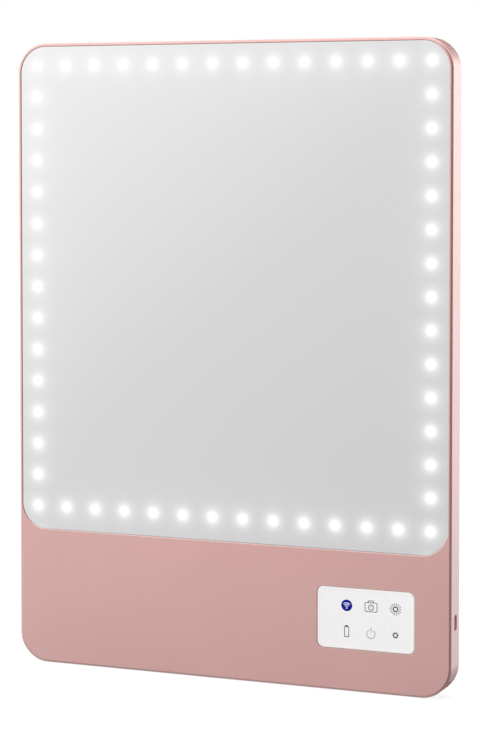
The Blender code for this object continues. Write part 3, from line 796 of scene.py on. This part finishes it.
def print_power(materials):
    bm = bmesh.new()
    stroke(bm, arc((0, -0.5), 2.2, 118, 422, 36), 0.26)
    stroke(bm, [(0, 0.2), (0, 3.0)], 0.24)
    printed("symbol_power", bm, centre_of("key_power"), materials["print_light"], "power_key")


def print_battery(materials):
    centre = centre_of("light_pipe_battery")
    bm = bmesh.new()
    stroke(bm, rounded_outline((-1.15, 1.15), (-2.8, 2.3), 0.25, 3), 0.34, closed=True)
    printed("symbol_battery", bm, centre, materials["print_grey"], "root")
    bm = bmesh.new()
    stroke(bm, [(-0.75, 2.75), (0.75, 2.75)], 0.6)
    printed("symbol_battery_cap", bm, centre, materials["print_grey"], "root")


def print_wireless(materials):
    """A blue disc with three plain radio waves above a dot."""
    centre = centre_of("light_pipe_wireless")
    bm = bmesh.new()
    disc(bm, (0, 0), 2.95, 40)
    printed("symbol_wireless_disc", bm, centre, materials["print_blue"], "root")
    bm = bmesh.new()
    disc(bm, (0, -1.35), 0.36, 20)
    for radius in (1.05, 1.85, 2.65):
        stroke(bm, arc((0, -1.35), radius, 48, 132, 12), 0.34)
    printed("symbol_wireless_waves", bm, centre, materials["print_white"], "root", layer=1)


def make_symbols(materials):
    print_camera(materials)
    large = {"ring": 1.15, "width": 0.58, "ray_radii": (1.85, 3.15), "ray_count": 14, "ray_width": 0.3}
    small = {"ring": 1.05, "width": 0.55, "ray_radii": (1.45, 1.75), "ray_count": 10, "ray_width": 0.34}
    print_sun(materials, "brighter", **large)
    print_sun(materials, "dimmer", **small)
    print_power(materials)
    print_battery(materials)
    print_wireless(materials)


# ---------------------------------------------------------------- the charging socket


def make_socket(materials):
    """A rolled metal shell with its tongue and contacts."""
    low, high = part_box("charging_socket")
    centre = (low + high) / 2
    shell_corner, sheet = 0.9 * MM, 0.3 * MM

    def sleeve(name, shrink, x):
        y, z = inner((low.y, high.y), shrink), inner((low.z, high.z), shrink)
        outline = rounded_outline(y, z, shell_corner - shrink, 8)
        return loft(name, [[(px, py, pz) for py, pz in outline] for px in x])

    shell = sleeve("charging_shell", 0.0, (low.x, high.x))
    cut(shell, sleeve("mouth", sheet, (low.x + 0.8 * MM, high.x + MM)))
    dress(shell, materials["socket"], "root", "plain_steel", "charging_socket")
    tongue = box_between(
        "socket_tongue",
        (low.x + 0.7 * MM, centre.y - 0.1 * MM, centre.z - 2 * MM),
        (high.x - 0.8 * MM, centre.y + 0.5 * MM, centre.z + 2 * MM),
    )
    dress(tongue, materials["black"], "root", "black_plastic")
    contact_pitch = 0.65 * MM
    for k in range(5):
        z = centre.z + (k - 2) * contact_pitch
        contact = box_between(
            f"socket_contact_{k + 1}",
            (low.x + 0.9 * MM, centre.y - 0.16 * MM, z - 0.15 * MM),
            (high.x - 0.9 * MM, centre.y - 0.08 * MM, z + 0.15 * MM),
        )
        dress(contact, materials["brass"], "root", "washer_brass")


# ---------------------------------------------------------------- the kickstand

TRAY_CORNER = 4.0 * MM
TRAY_WALL = 1.0 * MM
TRAY_FLANGE_SIDE, TRAY_FLANGE_LOW, TRAY_FLANGE_HIGH = 4.7 * MM, 2.7 * MM, 4.0 * MM
LEG_CORNER = 3.5 * MM
LEG_BACK_ROUND = 0.55 * MM
SHOULDER_Z = 145.0 * MM
NOTCH_Z = 34.0 * MM
BARREL_HALF, BARREL_RADIUS = 16.0 * MM, 1.9 * MM
BORE_RADIUS = 1.3 * MM


def tray_mouth():
    """The tub's outer walls, inside the flange that holds it under the cover."""
    low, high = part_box("stand_tray")
    across = inner((low.x, high.x), TRAY_FLANGE_SIDE)
    return across, (low.z + TRAY_FLANGE_LOW, high.z - TRAY_FLANGE_HIGH)


def make_tray(materials):
    """The recess the leg folds into, with a rolled floor and a flange under the cover."""
    low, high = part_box("stand_tray")
    x, z = tray_mouth()
    outside = [(0, low.y), *section(high.y, (0, -0.1), (0.1, 0))]
    tub = plate("stand_recess", x, z, TRAY_CORNER, outside)
    under_cover = section(BACK, (0, -2.8), (0, -1.8))
    flange = plate("flange", *spans("stand_tray"), TRAY_CORNER, under_cover)
    floor = section(BACK, (0.35, -4.3), (0.1, -4.2), (0, -3.95))
    mouth = section(high.y, (0, -0.1), (-0.1, 0.1))
    hollow_x, hollow_z = inner(x, TRAY_WALL), inner(z, TRAY_WALL)
    hollow = plate("hollow", hollow_x, hollow_z, TRAY_CORNER - TRAY_WALL, floor + mouth)
    cut(join(tub, flange), hollow)
    dress(tub, materials["rose_tray"], "root", "tray_metal", "stand_tray")


def make_leg(materials):
    """The leg's rounded plate with its rolled barrel and a half-round notch for a fingertip."""
    low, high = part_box("stand_leg")
    pad_low, pad_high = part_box("stand_foot_pad")
    pin = middle("stand_pin")
    front, back = pad_low.y, pad_high.y
    z = (pad_high.z + 0.1 * MM, SHOULDER_Z)
    rims = arc_profile(front, back, 0.3 * MM, LEG_BACK_ROUND)
    leg = plate("kickstand", (low.x, high.x), z, LEG_CORNER, rims, 14)
    neck_x, neck_z = (-BARREL_HALF, BARREL_HALF), (SHOULDER_Z - 5 * MM, high.z)
    neck_rims = arc_profile(front, back, 0.25 * MM, 0.25 * MM)
    neck = plate("neck", neck_x, neck_z, 0.4 * MM, neck_rims, 4)
    barrel = cylinder("barrel", pin, BARREL_RADIUS, 2 * BARREL_HALF, 48)
    scoop = [(9.0 * MM, front - MM), *section(back, (9.0, -0.5), (9.15, -0.2), (9.6, 0.1))]
    notch = turned("notch", scoop, (high.x, 0, NOTCH_Z), 72)
    bore = cylinder("bore", pin, BORE_RADIUS, 60 * MM, 40)
    cut(join(leg, neck, barrel), notch, bore)
    dress(leg, materials["rose"], "stand", "rose_metal", "stand_leg")


def make_foot_pad(materials):
    """The rubber foot, grooved across its sole."""
    low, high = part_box("stand_foot_pad")
    rims = arc_profile(low.y, high.y, 0.4 * MM, 0.4 * MM)
    pad = plate("foot_grip", *spans("stand_foot_pad"), 1.0 * MM, rims, 8)
    ribs, half_groove, groove_depth = 28, 0.2 * MM, 0.25 * MM
    grooves = []
    for k in range(1, ribs):
        x = low.x + k * (high.x - low.x) / ribs
        start = (x - half_groove, low.y - MM, low.z - MM)
        end = (x + half_groove, high.y + MM, low.z + groove_depth)
        grooves.append(box_between("groove", start, end))
    cut(pad, *grooves)
    dress(pad, materials["rubber"], "stand", "foot_rubber", "stand_foot_pad")


# ---------------------------------------------------------------- pieces that keep their CAD shape


def finish_cad_nodes(materials):
    """Gives each remaining node the material for the start of its name."""
    finishes = {
        "steel": ("stand_bracket", "stand_pin", "wireless_module", "tact_switch_"),
        "brass": ("friction_washer_",),
        "foam": ("mirror_tape", "foam_gasket"),
        "strip": ("lamp_strip_",),
        "carrier": ("lamp_carrier",),
        "black": ("switch_plunger_", "charge_chip", "battery_lead_negative", "lamp_lead"),
        "wire_red": ("battery_lead_positive",),
        "nylon": ("battery_connector", "lamp_connector", "lamp_terminal"),
        "acrylic": ("light_pipe_",),
        "resin": ("indicator_lamp_",),
        "board": ("main_board", "switch_board"),
        "pouch": ("battery_pack",),
        "film": ("keypad_ribbon",),
    }
    for finish, starts in finishes.items():
        for name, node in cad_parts.items():
            if name.startswith(starts):
                node.data.materials.clear()
                node.data.materials.append(materials[finish])


# ---------------------------------------------------------------- the studio


def make_camera():
    """A long lens to the right of the mirror, at the height of its upper part."""
    data = bpy.data.cameras.new("camera")
    data.lens = 112.1
    data.sensor_width = 36.0
    data.shift_y = -0.164
    camera = bpy.data.objects.new("camera", data)
    camera.location = (0.4560, -1.09085, 0.2785)
    camera.rotation_euler = (math.radians(87.35), 0, math.radians(22.5))
    bpy.context.scene.collection.objects.link(camera)
    bpy.context.scene.camera = camera


def make_floor():
    """A white floor that takes a soft shadow and stays out of reflections."""
    bm = bmesh.new()
    bmesh.ops.create_grid(bm, x_segments=1, y_segments=1, size=8.0)
    floor = new_object("floor", bm)
    floor.location.z = -0.2 * MM
    shader = Shader("pale_floor", (0.25, 0.25, 0.25), 0.9)
    shader.set("Emission Color", (1.0, 1.0, 1.0, 1.0))
    shader.set("Emission Strength", 0.84)
    shader.set("Specular IOR Level", 0.0)
    floor.data.materials.append(shader.material)
    floor.visible_glossy = False


def make_world():
    """The studio that the object reflects, white where the camera looks past the object.

    It is bright above, dark to the right, which draws the right rim, and dim just below.
    Each ramp's stops are (cosine of the angle to its direction, brightness or colour).
    """
    world = bpy.data.worlds.new("studio")
    bpy.context.scene.world = world
    world.use_nodes = True
    tree = world.node_tree
    tree.nodes.clear()
    direction = add_node(tree, "TexCoord").outputs["Generated"]

    def ramp(vector, *stops):
        inputs = {0: direction, 1: Vector(vector).normalized()}
        cosine = add_node(tree, "VectorMath", inputs, operation="DOT_PRODUCT").outputs["Value"]
        share = add_node(tree, "MapRange", {"Value": cosine, "From Min": -1.0}).outputs[0]
        made = add_node(tree, "ValToRGB", {"Fac": share})
        elements = made.color_ramp.elements
        while len(elements) < len(stops):
            elements.new(0.5)
        for element, (place, level) in zip(elements, stops):
            colour = level if isinstance(level, tuple) else (level, level, level)
            element.position = (place + 1) / 2
            element.color = (*colour, 1.0)
        return made.outputs["Color"]

    def blend(kind, a, b):
        inputs = {"Factor": 1.0, COLOUR_A: a, COLOUR_B: b}
        mixed = add_node(tree, "Mix", inputs, data_type="RGBA", blend_type=kind)
        return mixed.outputs[COLOUR_RESULT]

    dim = ((-1.0, 0.25), (-0.45, 0.3), (-0.22, 0.58), (-0.15, 0.62))
    bright = ((0.0, 0.72), (0.14, 0.93), (0.45, 1.03), (0.93, 1.0))
    sky = ramp((-0.61, 0.2, 0.77), *dim, *bright)
    below = ((-0.95, 0.8), (-0.55, 0.3), (-0.36, 0.2), (-0.28, 0.25), (-0.2, 1.0))
    low = ramp((0, 0, 1), *below)
    gap = ramp((-0.05, 0.93, 0.37), (0.9, 1.0), (0.96, (0.17, 0.1, 0.1)))
    dark, darker = (0.42, 0.33, 0.32), (0.28, 0.19, 0.18)
    side = ramp((0.96, -0.28, -0.08), (0.15, 1.0), (0.5, dark), (0.8, darker))
    behind = ramp((0.33, 0.94, 0.5), (0.45, 0.0), (0.8, 0.36), (0.86, 0.5), (0.92, 1.0))
    front = blend("MULTIPLY", blend("MULTIPLY", sky, side), low)
    lit = blend("MULTIPLY", blend("ADD", front, behind), gap)

    studio = add_node(tree, "Background", {"Color": lit, "Strength": 1.0})
    white = add_node(tree, "Background", {"Color": (1, 1, 1, 1), "Strength": 1.0})
    seen = add_node(tree, "LightPath").outputs["Is Camera Ray"]
    mixed = add_node(tree, "MixShader", {0: seen, 1: studio.outputs[0], 2: white.outputs[0]})
    add_node(tree, "OutputWorld", {"Surface": mixed.outputs[0]})


def add_area_light(name, place, target, size, power):
    """A light aimed at a point, which stays out of reflections."""
    data = bpy.data.lights.new(name, "AREA")
    data.shape = "RECTANGLE"
    data.size, data.size_y = size
    data.energy = power
    light = bpy.data.objects.new(name, data)
    light.location = place
    light.rotation_euler = (Vector(target) - Vector(place)).to_track_quat("-Z", "Y").to_euler()
    light.visible_glossy = False
    bpy.context.scene.collection.objects.link(light)


def make_studio():
    make_camera()
    make_floor()
    make_world()
    add_area_light("key_light", (-1.2, -1.4, 2.2), (0, 0, 0.15), (1.6, 1.6), 22.0)
    add_area_light("top_light", (0.2, 0.5, 2.4), (0, 0, 0.1), (2.0, 2.0), 16.0)
    view = bpy.context.scene.view_settings
    view.view_transform = "Standard"
    view.look = "None"


materials = make_materials()
make_studio()
make_casing(materials)
make_back_cover(materials)
make_screws(materials)
make_mirror(materials)
make_lamp_windows(materials)
make_panel(materials)
make_keys(materials)
make_symbols(materials)
make_socket(materials)
make_tray(materials)
make_leg(materials)
make_foot_pad(materials)
finish_cad_nodes(materials)
